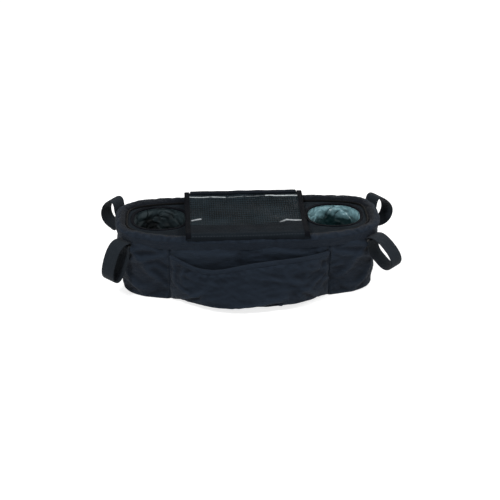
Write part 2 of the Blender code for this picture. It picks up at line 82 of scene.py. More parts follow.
POCKET_REACH, POCKET_GAPE, POCKET_BELLY = 0.042, 0.016, 0.009
MOUTH_HEIGHT, MOUTH_SAG, MOUTH_DIP, MOUTH_DIP_X, MOUTH_DIP_SPREAD = 0.0725, 0.003, 0.018, -0.066, 0.058
HEM_THICKNESS, HEM_HEIGHT = 0.0026, 0.007
LID_SHIFT, LID_HALF_WIDTH = -0.003, 0.087
LID_UNDER, LID_SAG, LID_FRONT, LID_REAR, LID_FLAT_FROM = 0.1087, 0.003, -0.07555, 0.07555, 0.07005
LID_BAND, LID_CLOTH, LID_BINDING_WIDTH = 0.043, 0.0015, 0.0075
WEBBING_WIDTH, WEBBING, TAPE, TAPE_HEIGHT, TAPE_LENGTH = 0.025, 0.0016, 0.0012, 0.081, 0.011
STRAP_LEAD, FIT = 0.0035, 0.0003


# Picking and reading meshes

def pick(*things):
    """Select only these objects, the last of them active."""
    bpy.ops.object.select_all(action="DESELECT")
    for thing in things:
        thing.select_set(True)
    bpy.context.view_layer.objects.active = things[-1] if things else None


def read(items, key, wide=3, kind=float):
    """One row of numbers for each of a mesh's items."""
    flat = np.empty(len(items) * wide, dtype=kind)
    items.foreach_get(key, flat)
    return flat.reshape(-1, wide)


def points_of(piece):
    return read(piece.data.vertices, "co")


def move_to(piece, points):
    piece.data.vertices.foreach_set("co", np.asarray(points, dtype=float).ravel())
    piece.data.update()


def normals_of(piece):
    return read(piece.data.vertex_normals, "vector")


def edges_of(piece):
    return read(piece.data.edges, "vertices", 2, int)


def linked(name, data):
    """A new object in the scene."""
    made = bpy.data.objects.new(name, data)
    bpy.context.scene.collection.objects.link(made)
    return made


def mark(piece, name, values):
    """Keep a number for each point that a material can read."""
    made = piece.data.attributes.new(name, "FLOAT", "POINT")
    made.data.foreach_set("value", values)


def in_edit_mode(piece, tool, **settings):
    """Use a mesh tool on all of a piece."""
    pick(piece)
    bpy.ops.object.mode_set(mode="EDIT")
    bpy.ops.mesh.select_all(action="SELECT")
    tool(**settings)
    bpy.ops.object.mode_set(mode="OBJECT")


def spread_uv(piece, size):
    """Make the UV map run in metres of cloth."""
    layer = piece.data.uv_layers[0].data
    layer.foreach_set("uv", (read(layer, "uv", 2) * size).ravel())


def rounded(wave, power):
    """A sine or cosine with its turns squared off."""
    return np.sign(wave) * np.abs(wave) ** power


def spots_at(*parts):
    """Points from an array, or one number, for each axis."""
    return np.stack(np.broadcast_arrays(*parts), axis=1)


def line_noise(places, scale, seed):
    """Smooth noise along one line."""
    return rough(spots_at(places, 0.0, 0.0), scale, seed)


def rough(points, scale, seed):
    """Smooth noise from -1 to 1 at points, with bumps about 1/scale across."""
    shift = Vector((seed * 13.7, seed * 5.3, -seed * 9.1))
    return np.array([noise.noise(Vector(point) * scale + shift) for point in points])


def wrinkles(points, seed, tilt=0.35):
    """Fine drawn-out creases with sharp crests, from about -1 to 1."""
    total = np.zeros(len(points))
    for step, (slope, along, across, weight) in enumerate(
            ((tilt, 17, 75, 0.5), (-0.6 * tilt, 30, 110, 0.3), (2.2 * tilt, 26, 150, 0.2))):
        lean = points[:, 2] + slope * points[:, 0] + 0.3 * points[:, 1]
        spots = spots_at(points[:, 0] * along, points[:, 1] * along, lean * across)
        total += weight * (1 - 4.2 * np.abs(rough(spots, 1, seed + 50 * step)))
    return total


def crease_finely(piece, size, seed, tilt=0.35, keep=None):
    """Press fine creases into a piece, fading where keep is 0."""
    points, facing = points_of(piece), normals_of(piece)
    depth = size * wrinkles(points, seed, tilt)
    if keep is not None:
        depth *= keep(points)
    move_to(piece, points + facing * depth[:, None])


def smooth_step(values, low, high):
    share = np.clip((values - low) / (high - low), 0, 1)
    return share * share * (3 - 2 * share)


# Making and shaping grids

def flat_grid(name, columns, rows, size=2.0, height=0.0):
    pick()
    bpy.ops.mesh.primitive_grid_add(x_subdivisions=columns, y_subdivisions=rows, size=size,
                                    location=(0, 0, height))
    piece = bpy.context.object
    piece.name = piece.data.name = name
    return piece


def grid(name, columns, rows, place, size, close=False):
    """Lead a flat grid onto a shape; its UV map is in metres of cloth."""
    piece = flat_grid(name, columns, rows)
    flat = points_of(piece)
    move_to(piece, np.stack(place(flat[:, 0] / 2 + 0.5, flat[:, 1] / 2 + 0.5), axis=1))
    spread_uv(piece, size)
    if close:
        in_edit_mode(piece, bpy.ops.mesh.remove_doubles, threshold=0.00002)
    return piece


def add_modifier(piece, kind, **settings):
    """Add a modifier with these settings and apply it."""
    made = piece.modifiers.new(kind.lower(), kind)
    for key, value in settings.items():
        setattr(made, key, value)
    pick(piece)
    bpy.ops.object.modifier_apply(modifier=made.name)


def smoother(piece):
    add_modifier(piece, "SUBSURF", levels=1, render_levels=1)


def thicken(piece, thickness):
    """Give a sheet its thickness, behind the side that shows."""
    add_modifier(piece, "SOLIDIFY", thickness=thickness, offset=-1.0, use_rim=True)


def settle(piece, held, spare, pressure, out, back, stiff=0.5):
    """Let cloth with some spare length find its folds, held where it is sewn."""
    before, facing = points_of(piece), normals_of(piece)
    group = piece.vertex_groups.new(name="held")
    for index in np.flatnonzero(held > 0):
        group.add([int(index)], float(held[index]), "REPLACE")
    made = piece.modifiers.new("cloth", "CLOTH")
    cloth = made.settings
    cloth.quality = 6
    cloth.mass = 0.3
    cloth.tension_stiffness = cloth.compression_stiffness = 20
    cloth.shear_stiffness = 8
    cloth.bending_stiffness = stiff
    cloth.shrink_min = -spare
    cloth.vertex_group_mass = "held"
    cloth.effector_weights.gravity = 0.0
    cloth.use_pressure = pressure != 0
    cloth.uniform_pressure_force = pressure
    made.collision_settings.use_collision = False
    for step in range(1, 21):
        bpy.context.scene.frame_set(step)
    pick(piece)
    bpy.ops.object.modifier_apply(modifier=made.name)
    bpy.context.scene.frame_set(1)
    piece.vertex_groups.clear()
    moved = points_of(piece) - before
    through = (moved * facing).sum(axis=1, keepdims=True)
    aside = moved - through * facing
    reach = np.linalg.norm(aside, axis=1, keepdims=True)
    aside *= np.minimum(1, 0.002 / np.maximum(reach, 1e-9))
    through = np.where(through > 0, out * np.tanh(through / out), back * np.tanh(through / back))
    move_to(piece, before + (aside + through * facing) * (1 - held[:, None]))


def sum_beside(values, pairs):
    """For each point, the sum of the values of the points that edges join it to."""
    total = np.zeros_like(values)
    for here, there in ((0, 1), (1, 0)):
        np.add.at(total, pairs[:, here], values[pairs[:, there]])
    return total


def mark_wear_and_fold_shade(piece, size, rounds=3):
    """Crests of folds paler and hollows darker, partly rubbed wear and partly painted highlight and
    shade: an attribute from 0 in a hollow to 1 on a crest.
    """
    points, pairs = points_of(piece), edges_of(piece)
    count = np.maximum(sum_beside(np.ones(len(points)), pairs), 1)
    bend = ((points - sum_beside(points, pairs) / count[:, None]) * normals_of(piece)).sum(axis=1)
    for _ in range(rounds):
        bend = 0.5 * bend + 0.5 * sum_beside(bend, pairs) / count
    mark(piece, "wear_and_fold_shade", np.clip(0.5 + bend / size, 0, 1))


def dress(piece, surface):
    piece.data.materials.clear()
    piece.data.materials.append(surface)


def finished(piece, surface, slot, *nodes):
    """Shade it, give it its surface and put it in the place of its solids."""
    pick(piece)
    bpy.ops.object.shade_smooth_by_angle(angle=math.radians(60))
    dress(piece, surface)
    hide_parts(*nodes)
    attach(piece, "root")


# Outline of the body

def steps(across, deep):
    return np.hypot(np.diff(across), np.diff(deep))


def run_along(across, deep):
    """How far along its line each point is."""
    return np.concatenate([[0], np.cumsum(steps(across, deep))])


def quarter(half_length, half_depth, power):
    turn = np.linspace(0, math.pi / 2, 1500)
    return half_length * np.sin(turn) ** (2 / power), half_depth * np.cos(turn) ** (2 / power)


def half_outline(height):
    """Right half of the wall's outline: 0 front middle, 1 seam, 2 end, 3 rear seam, 4 rear middle."""
    lack = 1 - height / BODY_HEIGHT
    length = HALF_LENGTH - END_TAPER * lack
    rows = []
    for depth, power, seam, marks in (
            (HALF_DEPTH - FRONT_TAPER * lack, FRONT_POWER, POCKET_HALF_WIDTH, (0, 1, 2)),
            (HALF_DEPTH - REAR_TAPER * lack, REAR_POWER, REAR_PANEL_HALF_WIDTH, (4, 3, 2))):
        across, deep = quarter(length, depth, power)
        run = run_along(across, deep)
        stops = np.interp(run, [0, np.interp(seam, across, run), run[-1]], marks)
        rows.append((stops, across, deep if marks[0] else -deep))
    stops = np.concatenate([rows[0][0], rows[1][0][::-1][1:]])
    return [np.interp(WALK, stops, np.concatenate([rows[0][part], rows[1][part][::-1][1:]]))
            for part in (1, 2)]


WALK = np.linspace(0, 4, 2001)
LOW, HIGH = np.array(half_outline(0.0)), np.array(half_outline(BODY_HEIGHT))
ALONG = np.gradient(HIGH, axis=1)
FACING = np.stack([ALONG[1], -ALONG[0]]) / np.hypot(*ALONG)
FACING[:, 0], FACING[:, -1] = (0, -1), (0, 1)


def plan(place, height, out=0.0):
    """Where the wall is at a place round it and a height, moved outward."""
    place = (np.asarray(place, dtype=float) + 4) % 8 - 4
    side, place = np.where(place < 0, -1.0, 1.0), np.abs(place)
    share = np.asarray(height) / BODY_HEIGHT
    spot = [np.interp(place, WALK, LOW[axis]) * (1 - share)
            + np.interp(place, WALK, HIGH[axis]) * share
            + np.interp(place, WALK, FACING[axis]) * out for axis in (0, 1)]
    return side * spot[0], spot[1]


def length_round(first, last):
    places = np.linspace(first, last, 400)
    across, deep = plan(places, BODY_HEIGHT)
    return float(steps(across, deep).sum())


# Surfaces

def feed(made, key, value):
    """Link a socket to a node's input, or set the input's value."""
    if isinstance(value, bpy.types.NodeSocket):
        made.id_data.links.new(value, made.inputs[key])
    else:
        made.inputs[key].default_value = value


def node(tree, kind, inputs=None, **settings):
    made = tree.nodes.new("ShaderNode" + kind)
    for key, value in settings.items():
        setattr(made, key, value)
    for key, value in (inputs or {}).items():
        feed(made, key, value)
    return made


def sums(tree, operation, first, second=0.0, third=0.0):
    """One Math node."""
    inputs = {0: first, 1: second, 2: third}
    return node(tree, "Math", inputs, operation=operation).outputs[0]


def times(tree, first, second):
    return sums(tree, "MULTIPLY", first, second)


def scaled(tree, first, second, third):
    """First times second plus third."""
    return sums(tree, "MULTIPLY_ADD", first, second, third)


def blank_surface(name, roughness, sheen=0.0, specular=0.5):
    made = bpy.data.materials.new(name)
    made.use_nodes = True
    shader = made.node_tree.nodes["Principled BSDF"]
    shader.inputs["Roughness"].default_value = roughness
    shader.inputs["Sheen Weight"].default_value = sheen
    shader.inputs["Sheen Roughness"].default_value = 0.5
    shader.inputs["Specular IOR Level"].default_value = specular
    return made, made.node_tree, shader


def object_place(tree):
    return node(tree, "TexCoord").outputs["Object"]


def uv_parts(tree):
    parts = node(tree, "SeparateXYZ", {0: node(tree, "UVMap").outputs[0]})
    return parts.outputs[0], parts.outputs[1]


def ripple(tree, place, pitch):
    return sums(tree, "SINE", times(tree, place, math.tau / pitch))


def mottle(tree, scale, detail, where="Object"):
    place = node(tree, "UVMap").outputs[0] if where == "UV" else object_place(tree)
    return node(tree, "TexNoise", {"Vector": place, "Scale": scale, "Detail": detail,
                                   "Roughness": 0.6}).outputs["Fac"]


def colour_between(tree, share, dark, light):
    ramp = node(tree, "ValToRGB", {"Fac": share})
    ramp.color_ramp.elements[0].color = (*dark, 1)
    ramp.color_ramp.elements[1].color = (*light, 1)
    ramp.color_ramp.elements[0].position = 0.25
    ramp.color_ramp.elements[1].position = 0.75
    return ramp.outputs["Color"]


def raised(tree, height, distance, strength=0.6, under=None):
    inputs = {"Height": height, "Distance": distance, "Strength": strength}
    if under is not None:
        inputs["Normal"] = under
    return node(tree, "Bump", inputs).outputs["Normal"]


def stitches(tree, rows):
    """Dashed rows of thread: (0 across or 1 along, its place) in metres of the UV map."""
    ways, total = uv_parts(tree), 0.0
    for way, place in rows:
        off = sums(tree, "ABSOLUTE", sums(tree, "SUBTRACT", ways[way], place))
        near = sums(tree, "LESS_THAN", off, 0.0005)
        dash = sums(tree, "GREATER_THAN", ripple(tree, ways[1 - way], 0.0042), -0.35)
        total = sums(tree, "MAXIMUM", times(tree, near, dash), total)
    return total


# ROLL_SHADE: colour of the painted shade on the rim roll's inner side.
ROLL_SHADE = (0.0035, 0.0033, 0.0037, 1)
THREAD = (0.035, 0.042, 0.05, 1)


def woven(name, colour, pale=1.7, pitch=0.0006, sheen=0.04, ribs=None, grid_lines=0, rows=(),
          inner=0.0, specular=0.12, painted_top_light=0.0):
    """Woven cloth: yarns, a mottled dye, paler crests and darker hollows of folds (partly rubbed wear,
    partly painted highlight and shade), and rows of stitches.
    """
    made, tree, shader = blank_surface(name, 0.8, sheen, specular)
    across, along = uv_parts(tree)
    if ribs:
        yarn = scaled(tree, ripple(tree, across, ribs[0]), 0.7,
                    times(tree, ripple(tree, along, ribs[1]), 0.5))
    else:
        yarn = times(tree, ripple(tree, across, pitch), ripple(tree, along, pitch))
    grain = mottle(tree, 900.0, 3.0, "UV")
    cloud = mottle(tree, 38.0, 4.0)
    wear_and_fold_shade = node(tree, "Attribute", attribute_name="wear_and_fold_shade").outputs["Fac"]
    share = sums(tree, "ADD", times(tree, grain, 0.35), times(tree, cloud, 0.3))
    # Painted highlight on fold crests and painted shade in fold hollows, along with rubbed wear.
    share = scaled(tree, wear_and_fold_shade, 0.62, sums(tree, "SUBTRACT", share, 0.12))
    share = scaled(tree, yarn, 0.05, share)
    # Painted light: the cloth is made paler towards the top of the wall, where it catches more light.
    if painted_top_light:
        height = node(tree, "SeparateXYZ", {0: object_place(tree)}).outputs[2]
        top_light_rise = node(tree, "Math", {0: height, 1: 25.0, 2: -1.25}, operation="MULTIPLY_ADD",
                    use_clamp=True)
        share = scaled(tree, top_light_rise.outputs[0], painted_top_light, share)
    if grid_lines:
        lines = [sums(tree, "GREATER_THAN", ripple(tree, way, grid_lines), 0.96)
                 for way in (across, along)]
        ridge = sums(tree, "MAXIMUM", *lines)
        share = scaled(tree, ridge, 0.12, share)
        yarn = scaled(tree, ridge, 1.5, yarn)
    light = [part * pale for part in colour]
    dark = [part / pale ** power for part, power in zip(colour, (1.0, 0.9, 0.75))]
    base = colour_between(tree, share, dark, light)
    # Painted shade: the inner side of the rim roll is darkened towards ROLL_SHADE.
    if inner:
        painted_inner_shade = node(tree, "Attribute", attribute_name="inner").outputs["Fac"]
        base = node(tree, "MixRGB", {"Fac": times(tree, painted_inner_shade, inner), "Color1": base,
                                     "Color2": ROLL_SHADE}).outputs[0]
    feed(shader, "Base Color", base)
    normal = raised(tree, yarn, pitch * 0.35)
    normal = raised(tree, mottle(tree, 260.0, 3.0), 0.0006, 0.35, normal)
    drawn = node(tree, "Mapping", {"Vector": object_place(tree), "Rotation": (0, 0.3, 0),
                                   "Scale": (45, 45, 210)})
    fine = node(tree, "TexNoise", {"Vector": drawn.outputs[0], "Scale": 1.0, "Detail": 3.0})
    normal = raised(tree, fine.outputs["Fac"], 0.0028, 0.5, normal)
    if rows:
        thread = stitches(tree, rows)
        mixed = node(tree, "MixRGB", {"Fac": times(tree, thread, 0.6), "Color1": base,
                                      "Color2": THREAD})
        feed(shader, "Base Color", mixed.outputs[0])
        normal = raised(tree, thread, 0.0006, 0.8, normal)
    feed(shader, "Normal", normal)
    return made


def film_lining(name, dark, light, roughness, gloss=0.5):
    """Thin coated film, crumpled, with a satin shine, and painted shade that darkens it deeper below its
    mouth.
    """
    made, tree, shader = blank_surface(name, roughness, 0.0, gloss)
    place = object_place(tree)
    bent = node(tree, "TexNoise", {"Vector": place, "Scale": 40.0, "Detail": 2.0})
    shift = node(tree, "VectorMath", {0: bent.outputs["Color"], 1: (0.03, 0.03, 0.03)},
                 operation="MULTIPLY")
    moved = node(tree, "VectorMath", {0: place, 1: shift.outputs[0]}, operation="ADD").outputs[0]
    cells = node(tree, "TexVoronoi", {"Vector": moved, "Scale": 48.0}, feature="DISTANCE_TO_EDGE")
    facets = node(tree, "TexVoronoi", {"Vector": moved, "Scale": 90.0}, feature="F1")
    crease = sums(tree, "MINIMUM", cells.outputs["Distance"], 0.2)
    # Painted shade: the film darkens with depth below the mouth of the well.
    height = node(tree, "SeparateXYZ", {0: place}).outputs[2]
    share = scaled(tree, height, 24.0, -2.45)
    share = scaled(tree, mottle(tree, 34.0, 3.0), 1.6, share)
    share = scaled(tree, facets.outputs["Distance"], 0.3, share)
    feed(shader, "Base Color", colour_between(tree, share, dark, light))
    normal = raised(tree, crease, 0.012, 0.8)
    normal = raised(tree, facets.outputs["Distance"], 0.0035, 0.5, normal)
    feed(shader, "Normal", normal)
    return made


def net_cloth():
    """Fine net: threads round small openings in slanting rows."""
    made, tree, shader = blank_surface("fine_net", 0.6, 0.0, 0.08)
    across, along = uv_parts(tree)
    deep = times(tree, along, 0.55)
    first = sums(tree, "ADD", across, deep)
    second = sums(tree, "SUBTRACT", across, deep)
    holes = times(tree, ripple(tree, first, 0.0066), ripple(tree, second, 0.0066))
    share = scaled(tree, holes, -0.36, times(tree, mottle(tree, 26.0, 2.0), 0.95))
    feed(shader, "Base Color", colour_between(
        tree, share, (0.0004, 0.0010, 0.0016), (0.0145, 0.0255, 0.0330)))
    feed(shader, "Normal", raised(tree, share, 0.0005, 0.7))
    return made


def clear_vinyl():
    """Soft clear sheet, white along its creases: partly stress whitening, partly painted highlights."""
    made, tree, shader = blank_surface("clear_vinyl", 0.2, 0.0, 0.4)
    crease = node(tree, "Attribute", attribute_name="crease").outputs["Fac"]
    # Painted highlight: marked creases turn whitish and more opaque.
    glint_haze = times(tree, crease, scaled(tree, mottle(tree, 240.0, 3.0), 1.6, 0.1))
    feed(shader, "Base Color", colour_between(
        tree, crease, (0.02, 0.03, 0.036), (0.7, 0.75, 0.78)))
    glance = node(tree, "LayerWeight", {"Blend": 0.3}).outputs["Facing"]
    alpha = scaled(tree, glance, 0.1, 0.02)
    feed(shader, "Alpha", sums(tree, "MINIMUM", sums(tree, "ADD", alpha, glint_haze), 0.95))
    feed(shader, "Normal", raised(tree, mottle(tree, 28.0, 2.0), 0.004, 0.5))
    return made


def stiff_board():
    made, tree, shader = blank_surface("stiff_board", 0.6)
    share = mottle(tree, 300.0, 4.0)
    feed(shader, "Base Color", colour_between(
        tree, share, (0.02, 0.02, 0.021), (0.045, 0.045, 0.047)))
    feed(shader, "Normal", raised(tree, share, 0.0004))
    return made


def fastening_tape(name, pitch, strength):
    """Hooks or loops standing on a tape."""
    made, tree, shader = blank_surface(name, 0.9, 0.3, 0.3)
    cells = node(tree, "TexVoronoi", {"Vector": object_place(tree), "Scale": 1 / pitch})
    pile = cells.outputs["Distance"]
    feed(shader, "Base Color", colour_between(
        tree, pile, (0.006, 0.0065, 0.007), (0.016, 0.017, 0.018)))
    feed(shader, "Normal", raised(tree, pile, pitch, strength))
    return made


DYE = (0.0085, 0.0132, 0.0208)
CLOTH = woven("padded_polyester", DYE, pale=1.9)
RIPSTOP = woven("ripstop_cloth", (0.0062, 0.0088, 0.0116), pitch=0.0004, grid_lines=0.005, sheen=0.01,
                specular=0.05, rows=((1, 0.0395), (1, 0.0045)))
DECK = woven("deck_weave", (0.0062, 0.0090, 0.0120), pale=1.7, sheen=0.01, specular=0.05)
# Near-black cord in the groove inside the rim roll: its darkness is partly the cord's colour and partly
# painted shade of the recess.
PIPING_GROOVE_SHADE = woven("piping_cord", (0.0016, 0.0016, 0.0018), pale=1.4, ribs=(0.0009, 0.0011))
BINDING = woven("binding_tape", (0.0026, 0.0032, 0.0048), pale=1.5, ribs=(0.0009, 0.0011), sheen=0.01,
                specular=0.05)
WEB = woven("loop_webbing", (0.0105, 0.0145, 0.0190), pale=1.6, ribs=(0.0021, 0.0013), sheen=0.05)
NET, VINYL, BOARD = net_cloth(), clear_vinyl(), stiff_board()
# Two copies of one film: the right well's keeps the film's colour, and SHADED_FILM is a darker copy,
# painted shade for the left well and the middle compartment.
RIGHT_FILM = film_lining("crinkled_film", (0.005, 0.019, 0.021), (0.20, 0.36, 0.40), 0.36)
SHADED_FILM = film_lining("shaded_crinkled_film", (0.0016, 0.0030, 0.0036), (0.020, 0.032, 0.037),
                          0.6, gloss=0.2)


# Outer walls

WALL_TURN_IN, SEAM_STITCH = 0.0015, 0.0035

def creases(points, lines):
    """Sum of soft ridges: (from, to, height, half width) as places round the wall and heights."""
    total = np.zeros(len(points))
    for (x0, z0), (x1, z1), high, wide in lines:
        start, way = np.array([x0, z0]), np.array([x1 - x0, z1 - z0])
        reach = np.linalg.norm(way)
        share = np.clip(((points - start) @ way) / reach ** 2, 0, 1)
        near = np.linalg.norm(points - start - share[:, None] * way, axis=1)
        total += high * np.exp(-(near / wide) ** 2) * np.sin(math.pi * (0.12 + 0.76 * share))
    return total


def folds(*rows):
    """Rows of (from, to, height, half width), written as whole tenths of a millimetre."""
    return [((x0, z0), (x1, z1), high, wide) for x0, z0, x1, z1, high, wide in np.array(rows) / 10000]


def wall_panel(name, first, last, seed, lines, spare):
    """One outer panel, sewn to its neighbours, the rim and the base."""
    width, tall = length_round(first, last), BODY_HEIGHT + WALL_TURN_IN

    def place(u, v):
        height = v * tall
        from_seam = np.minimum(u, 1 - u) * width
        tuck = 0.0018 * np.clip(1 - height / 0.003, 0, 1) ** 2
        tuck += 0.0022 * np.exp(-(from_seam / 0.003) ** 2)
        slack = np.minimum(1, from_seam / 0.02) * np.minimum(1, v * (1 - v) * 8)
        spots = spots_at(u * width, height)
        fold = creases(spots, lines)
        fold += 0.0007 * rough(spots[:, [0, 1, 1]] * (22, 45, 0), 1, seed)
        out = fold * slack - tuck
        across, deep = plan(first + (last - first) * u, np.minimum(height, BODY_HEIGHT), out)
        return across, deep, height

    piece = grid(name, int(width / 0.0031), 30, place, (width, tall))
    settle(piece, held_at_edges(piece), spare, 1.0, 0.0035, 0.0025)
    smoother(piece)
    crease_finely(piece, 0.0008, seed, keep=lambda spots: smooth_step(spots[:, 2], 0.001, 0.012))
    mark_wear_and_fold_shade(piece, 0.00017, 8)
    thicken(piece, 0.003)
    return piece


def boundary_of(piece):
    """Points on the open edges of a sheet."""
    count = np.zeros(len(piece.data.edges), dtype=int)
    np.add.at(count, read(piece.data.loops, "edge_index", 1, int).ravel(), 1)
    return np.unique(edges_of(piece)[count == 1])


def held_at_edges(piece):
    held = np.zeros(len(piece.data.vertices))
    held[boundary_of(piece)] = 1.0
    return held


SIDE_LINES = folds((200, 880, 1200, 700, 42, 45), (100, 760, 1000, 540, 36, 50),
                   (500, 660, 100, 260, 34, 60), (900, 550, 500, 100, 34, 70),
                   (1400, 850, 2100, 680, 34, 50), (1500, 500, 2100, 300, 28, 70),
                   (700, 860, 300, 560, 25, 40), (1000, 300, 300, 160, 22, 50))
FRONT_LINES = folds((200, 880, 900, 800, 26, 40), (1200, 890, 2000, 780, 31, 40))
REAR_LINES = folds((300, 850, 1300, 700, 24, 50), (1000, 500, 2000, 650, 22, 70),
                   (400, 450, 1100, 200, 22, 70), (1500, 850, 2200, 760, 20, 40))


def mirrored(lines, width):
    return [((width - x0, z0), (width - x1, z1), high, wide) for (x0, z0), (x1, z1), high, wide in lines]


for name, solid, first, last, seed, lines, spare in (
        ("front_wall_cloth", "front_panel", -1, 1, 1, FRONT_LINES, 0.015),
        ("right_wall_cloth", "right_side_panel", 1, 3, 2, SIDE_LINES, 0.035),
        ("rear_wall_cloth", "rear_panel", 3, 5, 3, REAR_LINES, 0.035),
        ("left_wall_cloth", "left_side_panel", -3, -1, 4,
         mirrored(SIDE_LINES, length_round(1, 3)), 0.035)):
    wall = wall_panel(name, first, last, seed, lines, spare)
    wide = length_round(first, last)
    sewn = woven(name + "_weave", DYE, pale=1.9, painted_top_light=0.2,
                 rows=((0, SEAM_STITCH), (0, wide - SEAM_STITCH)))
    finished(wall, sewn, "cloth", solid)


# Rim roll and the piping inside it

PIPING_RADIUS = 0.0015

def ring_length(inset):
    across, deep = plan(np.linspace(-4, 4, 1600), BODY_HEIGHT, -inset)
    return float(steps(across, deep).sum())


def piping_cord(inset, height, radius):
    """Thin cord laid all round inside the roll."""
    def place(u, v):
        turn = math.tau * v
        across, deep = plan(-4 + 8 * u, BODY_HEIGHT, radius * np.cos(turn) - inset)
        return across, deep, height + radius * np.sin(turn)

    return grid("rim_piping_cord", 420, 8, place, (ring_length(inset), math.tau * radius), close=True)


def padded_roll():
    """Padded roll whose cloth runs down outside and lies on the wall without a step."""
    middle, around = ROLL_WIDTH / 2 - ROLL_OVERHANG, ring_length(ROLL_WIDTH / 2 - ROLL_OVERHANG)

    def place(u, v):
        turn = math.tau * v
        spots = spots_at(np.cos(math.tau * u), np.sin(math.tau * u), np.cos(turn) * 0.05)
        spots = spots * around / math.tau
        swell = 1 + 0.09 * rough(spots, 60, 5) + 0.05 * rough(spots, 170, 6)
        out = ROLL_WIDTH / 2 * swell * np.cos(turn) - middle
        height = ROLL_Z + ROLL_HEIGHT / 2 * swell * np.sin(turn)
        low, outer = np.clip(-np.sin(turn), 0, 1), np.cos(turn) > 0
        gather = 0.0007 * rough(spots * (1, 1, 0.2), 120, 7) * low * (1 - low) * 4
        skirt = 0.0004 + (ROLL_OVERHANG - 0.0004) * (1 - low) ** 0.8 + gather
        out = np.where((low > 0) & outer, skirt, out)
        height = np.where((low > 0) & outer, ROLL_Z - 0.0135 * low, height)
        back = (low > 0.93) & ~outer
        out, height = np.where(back, 0.0004, out), np.where(back, 0.0955 - (low - 0.93) * 0.1, height)
        across, deep = plan(-4 + 8 * u, BODY_HEIGHT, out)
        return across, deep, height

    piece = grid("padded_rim_roll", 300, 26, place, (around, 0.05), close=True)
    held = smooth_step(ROLL_Z + 0.0035 - points_of(piece)[:, 2], 0, 0.005)
    settle(piece, held, 0.03, 2.5, 0.0012, 0.001, stiff=0.2)
    smoother(piece)
    crease_finely(piece, 0.0002, 8, 0.2, lambda spots: smooth_step(spots[:, 2], 0.090, 0.096))
    mark_wear_and_fold_shade(piece, 0.00025)
    # Painted shade: mark the side of the roll that faces into the bag, so its cloth can be darkened.
    points, facing, half = points_of(piece), normals_of(piece), (HALF_LENGTH, HALF_DEPTH)
    way = np.sign(points[:, :2]) * (np.abs(points[:, :2]) / half) ** 2.2 / half
    way /= np.linalg.norm(way, axis=1)[:, None]
    inner = smooth_step(-(way * facing[:, :2]).sum(axis=1), -0.35, 0.35)
    mark(piece, "inner", inner)
    return piece


roll = padded_roll()
finished(roll, woven("rim_weave", DYE, pale=1.9, inner=0.62), "cloth", "rim_roll")

piping = piping_cord(ROLL_INSIDE + FIT + PIPING_RADIUS, DECK_TOP + FIT + PIPING_RADIUS, PIPING_RADIUS)
mark_wear_and_fold_shade(piping, 0.001)
finished(piping, PIPING_GROOVE_SHADE, "tape", "rim_piping")


# Collar round the openings

def oval_outline(middle, half_length, front, rear, power, grow=0.0):
    """Even points of a rounded outline, anticlockwise from its right end."""
    turn = np.linspace(0, math.tau, 4001)
    along, deep = np.cos(turn), np.sin(turn)
    half = np.where(deep > 0, rear, front) + grow
    across = middle[0] + (half_length + grow) * rounded(along, 2 / power)
    deep = middle[1] + half * rounded(deep, 2 / power)
    run = run_along(across, deep)
    return run, across, deep


def on_oval(share, outline, grow=0.0):
    """Points of a named opening's outline at shares of the way round."""
    run, across, deep = oval_outline(*OPENINGS[outline], grow)
    stops = np.asarray(share) * run[-1]
    return np.interp(stops, run, across), np.interp(stops, run, deep), run[-1]


OPENINGS = {"left_well": ((-WELL_X, WELL_Y), WELL_HALF_LENGTH, WELL_HALF_DEPTH, WELL_HALF_DEPTH, 2.4),
            "right_well": ((WELL_X, WELL_Y), WELL_HALF_LENGTH, WELL_HALF_DEPTH, WELL_HALF_DEPTH, 2.4),
            "centre": ((0.0, 0.0), 0.082, 0.040, 0.050, 7.0)}


def deck_collar():
    """Flat padded cloth, cut from a fine grid to the solid's outline."""
    piece = flat_grid("collar_cloth", 150, 62)
    move_to(piece, points_of(piece) * (0.195, 0.081, 1) + (0, 0, DECK_TOP))
    spread_uv(piece, (0.39, 0.162))
    cutter = linked("cutter", frame["nodes"]["collar"].data.copy())
    points = points_of(cutter)
    points[:, 2] = DECK_TOP + (points[:, 2] - DECK_MIDDLE) * 20
    move_to(cutter, points)
    in_edit_mode(cutter, bpy.ops.mesh.remove_doubles, threshold=0.00001)
    add_modifier(piece, "BOOLEAN", operation="INTERSECT", object=cutter, solver="EXACT")
    bpy.data.objects.remove(cutter)
    if normals_of(piece)[:, 2].mean() < 0:
        in_edit_mode(piece, bpy.ops.mesh.flip_normals)
    return piece


def puff_up(piece):
    """Raise padded cloth gently between its edges."""
    spots, edge = points_of(piece), boundary_of(piece)
    far = np.full(len(spots), 1.0)
    for chunk in range(0, len(spots), 500):
        part = spots[chunk:chunk + 500, None, :2] - spots[None, edge, :2]
        far[chunk:chunk + 500] = np.linalg.norm(part, axis=2).min(axis=1)
    puff = 0.0012 * smooth_step(far, 0, 0.007)
    puff += 0.0007 * rough(spots * (60, 60, 0), 1, 6) * smooth_step(far, 0, 0.01)
    spots[:, 2] += puff - 0.0008 * smooth_step(-far, -0.003, 0)
    move_to(piece, spots)


collar = deck_collar()
puff_up(collar)
mark_wear_and_fold_shade(collar, 0.0002)
thicken(collar, 0.0022)
finished(collar, DECK, "cloth", "collar")


# Linings of the wells and the middle compartment

